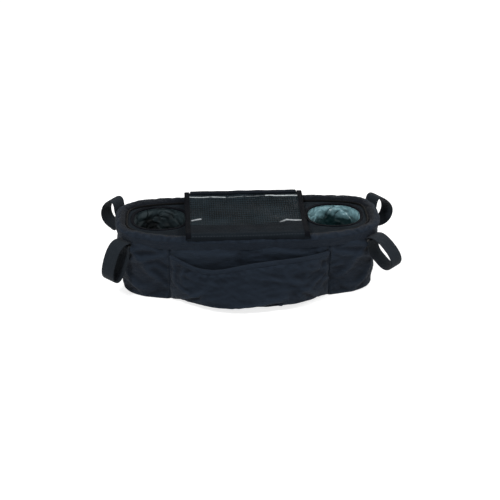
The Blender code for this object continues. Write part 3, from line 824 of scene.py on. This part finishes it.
def lining_bag(name, outline, taper, seed, columns, rows):
    """Open bag of crinkled film hung in an opening, its floor closed."""
    around, mouth = on_oval(0, outline)[2], LINING_TOP + 0.0022
    tall = mouth - FLOOR - LINING
    middle, half, wide = OPENINGS[outline][:3]
    share_wall = tall / (tall + wide)

    def place(u, v):
        wall = np.minimum(v / share_wall, 1)
        inward = np.clip((v - share_wall) / (1 - share_wall), 0, 1)
        across, deep, _ = on_oval(u, outline)
        shrink = (1 - taper * wall / half) * (1 - inward)
        across = middle[0] + (across - middle[0]) * shrink
        deep = middle[1] + (deep - middle[1]) * shrink
        return across, deep, mouth - tall * wall

    piece = grid(name, columns, rows, place, (around, tall + wide), close=True)
    spots, facing = points_of(piece), normals_of(piece)
    shift = Vector((seed, 0, 0))
    ridges = np.array([noise.ridged_multi_fractal(Vector(point) * 42 + shift, 1.0, 2.1, 3, 1.0, 2.0)
                       for point in spots])
    deepness = smooth_step(mouth - spots[:, 2], 0, 0.006)
    gathers = 0.5 + 0.5 * rough(spots * (95, 95, 14), 1, seed)
    crinkle = 0.0011 * ridges + 0.0016 * gathers * deepness
    move_to(piece, spots + facing * (np.clip(crinkle, 0, 0.0045) * np.maximum(deepness, 0.15))[:, None])
    held = (spots[:, 2] > LINING_TOP) | (spots[:, 2] < FLOOR + LINING + 0.001)
    settle(piece, held.astype(float), 0.05, -0.4, 0.003, 0.0004, stiff=0.05)
    smoother(piece)
    mark_wear_and_fold_shade(piece, 0.0002)
    thicken(piece, 0.0009)
    return piece, around, tall + wide


for opening, surface, taper, seed, columns in (("left_well", SHADED_FILM, WELL_TAPER, 11, 110),
                                               ("right_well", RIGHT_FILM, WELL_TAPER, 12, 110),
                                               ("centre", SHADED_FILM, 0.0, 13, 170)):
    film, around, tall = lining_bag(opening + "_film_lining", opening, taper, seed, columns, 56)
    finished(film, surface, "lining", opening + "_lining")


TAPE_HALF = 0.0025


def well_tape(name, outline, seed):
    """Flat tape round the mouth of a well."""
    around = on_oval(0, outline, TAPE_HALF)[2]

    def place(u, v):
        turn = math.tau * v
        out = TAPE_HALF * rounded(np.cos(turn), 0.5)
        up = 0.0007 * rounded(np.sin(turn), 0.6)
        across, deep, _ = on_oval(u, outline, TAPE_HALF)
        middle = OPENINGS[outline][0]
        radius = np.hypot(across - middle[0], deep - middle[1])
        wave = 0.0004 * rough(spots_at(across, deep, 0.0), 70, seed)
        return (across + (across - middle[0]) / radius * out, deep + (deep - middle[1]) / radius * out,
                DECK_TOP + 0.0011 + up + wave + out * 0.12)

    return grid(name, 150, 10, place, (around, 0.012), close=True)


for side in ("left", "right"):
    tape = well_tape(side + "_well_tape", side + "_well", 15)
    mark_wear_and_fold_shade(tape, 0.0004)
    finished(tape, BINDING, "tape", side + "_well_binding")


# Front pocket

def mouth_height(across):
    share = across / POCKET_HALF_WIDTH
    dip = np.exp(-((across - MOUTH_DIP_X) / MOUTH_DIP_SPREAD) ** 2)
    return MOUTH_HEIGHT - MOUTH_SAG * (1 - share ** 2) - MOUTH_DIP * dip * (1 - share ** 4)


def pocket_curve(across, share):
    """Distance out from the wall and height of the pocket's cloth."""
    slack = np.maximum(0, 1 - np.abs(across / POCKET_HALF_WIDTH) ** 2.4)
    belly, gape = POCKET_REACH * slack ** 0.8, POCKET_GAPE * slack
    turn = math.pi / 2 * np.minimum(share / 0.4, 1)
    rest = np.clip((share - 0.4) / 0.6, 0, 1)
    foot = POCKET_FOOT + POCKET_BELLY
    low = share < 0.4
    closing = 0.5 + 0.5 * np.cos(math.pi * rest)
    out = np.where(low, belly * np.sin(turn), gape + (belly - gape) * closing)
    height = np.where(low, POCKET_FOOT + POCKET_BELLY * (1 - np.cos(turn)),
                      foot + (mouth_height(across) - foot) * rest)
    return out, height


POCKET_LINES = folds((300, 300, 1600, 580, 48, 60), (600, 850, 150, 450, 34, 60),
                     (1650, 920, 2120, 450, 39, 60), (1100, 960, 1950, 780, 28, 50),
                     (200, 980, 900, 860, 28, 50), (1950, 420, 1100, 280, 36, 60),
                     (100, 700, 450, 620, 25, 40), (2150, 800, 1800, 620, 25, 40))


def pocket_cloth():
    """The pocket's cloth, gathered between its seams, and the size it was cut to."""
    width, tall = length_round(-1, 1), 0.112

    def place(u, v):
        across = POCKET_HALF_WIDTH * (2 * u - 1)
        out, height = pocket_curve(across, v)
        spots = spots_at(u * width, v * tall)
        slack = np.minimum(1, np.minimum(u, 1 - u) * 12) * np.minimum(1, v * 5)
        fold = creases(spots, POCKET_LINES) * slack
        pinch = -0.0012 * np.exp(-(np.minimum(u, 1 - u) * width / 0.004) ** 2)
        x, y = plan(2 * u - 1, height, POCKET_FIT + POCKET_CLOTH + out + fold + pinch)
        return x, y, height

    piece = grid("pocket_cloth", 92, 44, place, (width * 1.08, tall))
    settle(piece, held_at_edges(piece), 0.04, 0.6, 0.0035, 0.003)
    smoother(piece)
    crease_finely(piece, 0.0009, 21, 0.3, lambda spots: smooth_step(spots[:, 2], 0.006, 0.026))
    mark_wear_and_fold_shade(piece, 0.00017, 8)
    thicken(piece, POCKET_CLOTH)
    return piece, (width * 1.08, tall)


pocket, cut = pocket_cloth()
sewn = woven("pocket_weave", DYE, pale=1.9, painted_top_light=0.15,
             rows=((0, 0.004), (0, cut[0] - 0.004), (1, 0.004)))
finished(pocket, sewn, "cloth", "front_pocket")


def pocket_hem():
    """Turned edge along the pocket's mouth."""
    width = length_round(-1, 1)

    def place(u, v):
        across = POCKET_HALF_WIDTH * (2 * u - 1)
        out, height = pocket_curve(across, np.ones_like(u))
        turn = math.tau * v
        thick = HEM_THICKNESS / 2 * (1 + 0.25 * line_noise(across, 90, 20))
        ends = np.minimum(1, np.minimum(u, 1 - u) / 0.004)
        away = thick * rounded(np.cos(turn), 0.6) * ends
        up = HEM_HEIGHT / 2 * rounded(np.sin(turn), 0.6) * ends
        x, y = plan(2 * u - 1, height, POCKET_FIT + HEM_THICKNESS / 2 + out + away)
        return x, y, height + FIT + HEM_HEIGHT / 2 + up

    return grid("pocket_hem_fold", 150, 16, place, (width, 0.017), close=True)


hem = pocket_hem()
mark_wear_and_fold_shade(hem, 0.0003)
finished(hem, CLOTH, "cloth", "front_pocket_hem")


# Lid

def lid_height(deep):
    share = np.minimum(1, np.abs(deep) / LID_FLAT_FROM)
    return LID_UNDER - LID_SAG * (1 - share ** 2) ** 2


def lid_wave(across, deep):
    """Slow waves that all the lid's layers share."""
    spots = spots_at(across, deep, 0.0)
    inner = smooth_step(0.066 - np.abs(deep), 0, 0.03)
    return (0.0014 * rough(spots, 26, 31) * inner - 0.0014 * inner
            + 0.0008 * (0.6 + rough(spots, 45, 32)))


def band_rise(across):
    """The edge between band and window runs further back towards the right."""
    return 0.010 * smooth_step(across, 0.008, 0.072)


def lid_layer(name, left, right, front, rear, low, thickness, columns, rows):
    """One sheet of the lid, low above the lid's underside."""
    def place(u, v):
        across = left + (right - left) * u
        first = front + (band_rise(across) if front > 0.9 * band_rear else 0)
        last = rear + (band_rise(across) if rear < 0 else 0)
        deep = first + (last - first) * v
        height = lid_height(deep) + low + thickness + lid_wave(across, deep) + front_roll_down(deep)
        return across, deep, height

    piece = grid(name, columns, rows, place, (right - left, rear - front))
    mark_wear_and_fold_shade(piece, 0.0001)
    mark_glint_creases(piece)
    thicken(piece, thickness)
    return piece


# Creases of the clear sheet, placed where painted highlights lie along them.
VINYL_GLINT_CREASES = [((-0.086, 0.0590), (-0.030, 0.0570), 0.0011, 0.9),
                 ((-0.030, 0.0570), (0.030, 0.0598), 0.0010, 0.55),
                 ((0.030, 0.0598), (0.082, 0.0580), 0.0014, 1.0),
                 ((-0.080, 0.004), (-0.068, 0.034), 0.0022, 0.22),
                 ((-0.080, -0.016), (-0.068, -0.010), 0.0026, 0.75),
                 ((0.046, -0.027), (0.056, -0.017), 0.0030, 0.6),
                 ((0.055, -0.018), (0.078, -0.021), 0.0026, 0.8),
                 ((-0.067, -0.020), (-0.065, 0.050), 0.0012, 0.14),
                 ((-0.074, 0.010), (-0.070, 0.046), 0.0035, 0.10)]


def mark_glint_creases(piece):
    """Where the clear sheet is creased and painted with highlights, from 0 to 1: (from, to, half width,
    strength) on the lid.
    """
    spots, total = points_of(piece)[:, :2], np.zeros(len(piece.data.vertices))
    wave = 0.0009 * rough(spots_at(*spots.T, 0.0), 120, 71)
    for start, stop, wide, strength in VINYL_GLINT_CREASES:
        start, way = np.array(start), np.array(stop) - start
        share = np.clip(((spots - start) @ way) / (way @ way), 0, 1)
        near = np.linalg.norm(spots - start - share[:, None] * way + wave[:, None], axis=1)
        total = np.maximum(total, strength * np.exp(-(near / wide) ** 2))
    mark(piece, "crease", total)


lid_reach = LID_HALF_WIDTH - 0.0008 - FIT
lid_left, lid_right = LID_SHIFT - lid_reach, LID_SHIFT + lid_reach
band_rear = LID_FRONT + LID_BAND
clear_rear = LID_REAR - 0.009 - FIT
above = LID_CLOTH + FIT


def front_roll_down(deep):
    """The lid turns down over the rim roll along its front edge."""
    return -0.0058 * smooth_step(LID_FRONT + 0.0075 - deep, 0, 0.009) - 0.0004 * (deep < LID_FRONT)


lid_pieces = (
    ("lid_cloth", (LID_FRONT, LID_REAR), 0.0, LID_CLOTH, CLOTH, "cloth", "lid_panel"),
    ("lid_ripstop_band", (LID_FRONT - 0.0010, band_rear), above, 0.0016, RIPSTOP, "ripstop",
     "lid_front_band"),
    ("lid_net", (band_rear + FIT, clear_rear), above, 0.0006, NET, "mesh", "lid_mesh"),
    ("lid_clear_window", (band_rear + FIT, clear_rear), above + 0.0009, 0.0007, VINYL, "vinyl",
     "lid_window"))
for name, (front, rear), low, thickness, surface, slot, solid in lid_pieces:
    fine = 0.001 if surface is VINYL else 0.002
    sheet = lid_layer(name, lid_left, lid_right, front, rear, low, thickness, int(0.17 / fine),
                      int((rear - front) / fine))
    finished(sheet, surface, slot, solid)


def lid_side_binding(name, side):
    """Tape folded round one side edge of the lid."""
    edge = LID_SHIFT + side * LID_HALF_WIDTH
    inner = edge - side * LID_BINDING_WIDTH

    def place(u, v):
        deep = LID_FRONT + 0.0004 + (LID_REAR - LID_FRONT + 0.0002) * u
        turn = math.pi * (v - 0.5) * side
        across = inner + (edge - inner) * np.abs(np.cos(turn)) ** 0.35
        base = lid_height(deep) + lid_wave(across * 0 + edge, deep) + front_roll_down(deep)
        middle = base + 0.0017 + 0.0012 * smooth_step(LID_FRONT + 0.006 - deep, 0, 0.006)
        half = 0.0023 * (0.7 + 0.3 * np.minimum(1, np.minimum(u, 1 - u) / 0.05))
        return across, deep, middle + half * rounded(np.sin(turn), 0.35)

    piece = grid(name, 80, 16, place, (LID_REAR - LID_FRONT, 0.02))
    mark_wear_and_fold_shade(piece, 0.0004)
    thicken(piece, 0.0007)
    return piece


for label, side in (("left", -1), ("right", 1)):
    tape = lid_side_binding("lid_" + label + "_tape", side)
    finished(tape, BINDING, "tape", "lid_binding_" + label)


REAR_ROLL_HALF = 0.0045


def lid_rear_roll():
    """Rolled rear edge of the lid."""
    deep_middle = LID_REAR - REAR_ROLL_HALF
    reach = LID_HALF_WIDTH - LID_BINDING_WIDTH - FIT

    def place(u, v):
        turn = -math.tau * v
        across = LID_SHIFT + reach * (2 * u - 1)
        ends = np.minimum(1, np.minimum(u, 1 - u) / 0.006) ** 0.5
        swell = (1 + 0.12 * line_noise(across, 80, 36)) * ends
        deep = deep_middle + REAR_ROLL_HALF * swell * np.cos(turn)
        base = lid_height(deep_middle) + LID_CLOTH + FIT + 0.002
        base = base + lid_wave(across, across * 0 + deep_middle)
        return across, deep, base - 0.0022 * swell * np.sin(turn)

    return grid("lid_rear_roll", 110, 14, place, (2 * reach, 0.022), close=True)


rear_roll = lid_rear_roll()
mark_wear_and_fold_shade(rear_roll, 0.0003)
finished(rear_roll, CLOTH, "cloth", "lid_back_roll")


# Webbing loops

FRONT_STRAP_TURN, REAR_STRAP_TURN = 43, 35
# Each loop's middle line: (out from the wall, height) in tenths of a millimetre
FRONT_LEFT_ROUTE = [(62, 905), (110, 915), (180, 895), (245, 840), (300, 760), (345, 660),
                    (375, 560), (385, 465), (350, 395), (290, 365), (225, 390), (165, 480),
                    (125, 570), (85, 650)]
FRONT_RIGHT_ROUTE = [(62, 915), (120, 930), (200, 905), (290, 855), (380, 790), (450, 710),
                     (480, 620), (450, 545), (380, 505), (300, 515), (220, 560), (150, 610),
                     (95, 655)]
REAR_LEFT_ROUTE = [(72, 935), (85, 1020), (95, 1100), (140, 1140), (210, 1120), (285, 1045),
                   (325, 950), (330, 860), (290, 775), (220, 735), (150, 700), (100, 680)]
REAR_RIGHT_ROUTE = [(72, 935), (85, 1010), (100, 1080), (150, 1110), (230, 1080), (320, 1000),
                    (395, 905), (415, 810), (375, 715), (290, 660), (190, 650), (120, 660)]


def strap_seat(side, end):
    """Where a loop is sewn to the wall, and the way it points."""
    turn = math.radians(FRONT_STRAP_TURN if end < 0 else REAR_STRAP_TURN)
    lack = 1 - (TAPE_HEIGHT + TAPE_LENGTH / 2) / BODY_HEIGHT
    length = HALF_LENGTH - END_TAPER * lack
    depth, power = ((HALF_DEPTH - FRONT_TAPER * lack, FRONT_POWER) if end < 0
                    else (HALF_DEPTH - REAR_TAPER * lack, REAR_POWER))
    across, deep = quarter(length, depth, power)
    slope = np.arctan2((deep / depth) ** (power - 1) / depth, (across / length) ** (power - 1) / length)
    place = int(np.argmin(np.abs(slope - turn)))
    return (np.array([side * across[place], end * deep[place]]),
            np.array([side * math.cos(turn), end * math.sin(turn)]))


def strap_route(route):
    """Middle line of a loop: up the wall, round, and back over its own start."""
    sewn = FIT + WEBBING / 2
    free = sewn + WEBBING + 2 * TAPE + 3 * FIT
    low, high = TAPE_HEIGHT - TAPE_LENGTH / 2, TAPE_HEIGHT + TAPE_LENGTH / 2
    knots = np.array([(sewn, level) for level in (low, TAPE_HEIGHT, high, high + STRAP_LEAD)]
                     + [(out / 10000, up / 10000) for out, up in route]
                     + [(free, level) for level in (low - STRAP_LEAD, low, TAPE_HEIGHT, high)])
    ends = np.vstack([2 * knots[0] - knots[1], knots, 2 * knots[-1] - knots[-2]])
    share = np.linspace(0, 1, 20, endpoint=False)[:, None]
    parts = [(ends[i] * (1 - share) ** 3 + ends[i + 1] * (3 * share ** 3 - 6 * share ** 2 + 4)
              + ends[i + 2] * (-3 * share ** 3 + 3 * share ** 2 + 3 * share + 1)
              + ends[i + 3] * share ** 3) / 6 for i in range(len(ends) - 3)]
    line = np.vstack(parts + [knots[-1:]])
    return line, np.concatenate([[0], np.cumsum(np.linalg.norm(np.diff(line, axis=0), axis=1))])


def webbing_loop(name, side, end, route, seed):
    """One webbing loop, its two layers fastened over its own start."""
    spot, away = strap_seat(side, end)
    across = np.array([-away[1], away[0]])
    line, run = strap_route(route)
    slopes = np.gradient(line, axis=0)
    slopes /= np.linalg.norm(slopes, axis=1)[:, None]

    def place(u, v):
        stop = u * run[-1]
        out, height = np.interp(stop, run, line[:, 0]), np.interp(stop, run, line[:, 1])
        lean = spots_at(np.interp(stop, run, slopes[:, 1]), -np.interp(stop, run, slopes[:, 0]))
        turn = math.tau * v
        ends = np.minimum(1, np.minimum(u, 1 - u) / 0.004)
        wide = WEBBING_WIDTH / 2 * rounded(np.cos(turn), 0.3) * ends ** 0.5
        thick = WEBBING / 2 * rounded(np.sin(turn), 0.5) * ends
        free = smooth_step(stop, 0.02, 0.05) * smooth_step(run[-1] - stop, 0.02, 0.05)
        sway = free * 0.0012 * rough(spots_at(stop, wide * 0.4, 0.0), 30, seed)
        out, height = out + lean[:, 0] * (thick + sway), height + lean[:, 1] * (thick + sway)
        return (spot[0] + away[0] * out + across[0] * wide, spot[1] + away[1] * out + across[1] * wide,
                height)

    return grid(name, 150, 20, place, (run[-1], 0.0532), close=True)


for corner, side, end, route, seed in (
        ("front_left", -1, -1, FRONT_LEFT_ROUTE, 41), ("front_right", 1, -1, FRONT_RIGHT_ROUTE, 42),
        ("rear_left", -1, 1, REAR_LEFT_ROUTE, 43), ("rear_right", 1, 1, REAR_RIGHT_ROUTE, 44)):
    loop = webbing_loop(corner + "_webbing", side, end, route, seed)
    in_edit_mode(loop, bpy.ops.mesh.normals_make_consistent, inside=False)
    mark_wear_and_fold_shade(loop, 0.0006)
    finished(loop, WEB, "webbing", corner + "_strap")


# Base cloth and the pads beside the middle compartment

def base_cloth():
    """Flat cloth under the board, a little slack between its seams."""
    def place(u, v):
        across, deep = plan(-4 + 8 * u, 0.0, -0.0045)
        near = 1 - v
        slack = 0.0006 * rough(spots_at(across * near, deep * near, 0.0), 40, 61)
        return across * near, deep * near, 0.0016 + slack * smooth_step(v, 0, 0.1)

    piece = grid("base_cloth", 160, 24, place, (ring_length(0.0045), 0.07), close=True)
    in_edit_mode(piece, bpy.ops.mesh.normals_make_consistent, inside=False)
    if normals_of(piece)[:, 2].mean() > 0:
        in_edit_mode(piece, bpy.ops.mesh.flip_normals)
    points = points_of(piece)
    points[:, 2] = np.maximum(points[:, 2] - 0.0014, 0.0001)
    move_to(piece, points)
    mark_wear_and_fold_shade(piece, 0.0002)
    thicken(piece, 0.0015)
    return piece


def divider_pad(name):
    """Thin pad between a well and the middle compartment, its top corners cut in under the rim."""
    low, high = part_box(name)
    middle, half = (low[0] + high[0]) / 2, (high[0] - low[0]) / 2

    def place(u, v):
        deep = low[1] + (high[1] - low[1]) * u
        turn = math.tau * v
        from_end = np.minimum(deep - low[1], high[1] - deep)
        top = 0.0945 + (high[2] - 0.0945) * smooth_step(from_end, 0.0125, 0.0145)
        foot_end = smooth_step(from_end, 0, 0.02)
        bottom = low[2] + (1 - foot_end) * 0.07
        ends = np.minimum(1, from_end / 0.002) ** 0.5
        puff = 0.9 + 0.1 * rough(spots_at(deep, np.sin(turn) * 0.04, 0.0), 45, 63)
        across = middle + half * puff * rounded(np.cos(turn), 0.35) * ends
        return across, deep, (top + bottom) / 2 + (top - bottom) / 2 * rounded(np.sin(turn), 0.35)

    return grid(name + "_pad", 70, 40, place, (high[1] - low[1], 0.19), close=True)


bottom_cloth = base_cloth()
finished(bottom_cloth, CLOTH, "cloth", "base_panel")
for label in ("left_divider", "right_divider"):
    pad = divider_pad(label)
    mark_wear_and_fold_shade(pad, 0.0004)
    finished(pad, CLOTH, "cloth", label)


# Pieces that keep their solids

for name, surface in (("hook_tape", fastening_tape("hook_tape_pile", 0.0012, 0.8)),
                      ("loop_tape", fastening_tape("loop_tape_pile", 0.0007, 0.5))):
    for corner in ("front_left", "front_right", "rear_left", "rear_right"):
        dress(frame["nodes"][corner + "_" + name], surface)
dress(frame["nodes"]["base_board"], BOARD)


# Floor, light and camera

def floor():
    piece = flat_grid("studio_floor", 2, 2, 12.0, -0.0002)
    made, tree, shader = blank_surface("pale_floor", 0.9, 0.0, 0.1)
    shader.inputs["Base Color"].default_value = (0.62, 0.62, 0.62, 1)
    path = node(tree, "LightPath")
    seen = sums(tree, "MAXIMUM", path.outputs["Is Camera Ray"], path.outputs["Is Glossy Ray"])
    seen = sums(tree, "MAXIMUM", seen, path.outputs["Is Transmission Ray"])
    shader.inputs["Emission Color"].default_value = (1, 1, 1, 1)
    feed(shader, "Emission Strength", times(tree, seen, 0.8))
    piece.data.materials.append(made)
    piece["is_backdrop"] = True


def lamp(name, place, target, size, power):
    light = bpy.data.lights.new(name, "AREA")
    light.shape, light.size, light.size_y, light.energy = "RECTANGLE", size[0], size[1], power
    made = linked(name, light)
    made.location = place
    made.rotation_euler = (Vector(target) - Vector(place)).to_track_quat("-Z", "Y").to_euler()


def world():
    made = bpy.data.worlds.new("white_studio")
    made.use_nodes = True
    tree = made.node_tree
    path = node(tree, "LightPath")
    seen = sums(tree, "MAXIMUM", path.outputs["Is Camera Ray"], path.outputs["Is Transmission Ray"])
    strength = scaled(tree, seen, 0.84, 0.16)
    tree.nodes["Background"].inputs["Color"].default_value = (1, 1, 1, 1)
    feed(tree.nodes["Background"], "Strength", strength)
    bpy.context.scene.world = made


def camera():
    turn, lift, far = math.radians(-3), math.radians(26), 2.224
    target = Vector((0.0036, 0.0, 0.0523))
    way = Vector((math.sin(turn) * math.cos(lift), -math.cos(turn) * math.cos(lift), math.sin(lift)))
    lens = bpy.data.cameras.new("camera")
    lens.lens, lens.sensor_width, lens.clip_start = 110, 36, 0.05
    made = linked("camera", lens)
    made.location = target + way * far
    made.rotation_euler = (-way).to_track_quat("-Z", "Y").to_euler()
    bpy.context.scene.camera = made


floor()
world()
lamp("overhead", (-0.1, 0.2, 1.5), (0, 0, 0.05), (0.9, 0.7), 5.5)
lamp("rear_fill", (0.7, 1.4, 0.7), (0, 0, 0.05), (0.6, 0.6), 6)
lamp("front_left_key", (-0.8, -1.3, 1.5), (0, 0, 0.05), (0.3, 0.3), 22)
lamp("right_fill", (1.2, -0.7, 1.2), (0, 0, 0.05), (0.5, 0.5), 10)
camera()
bpy.context.scene.view_settings.view_transform = "Standard"

low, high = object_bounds()
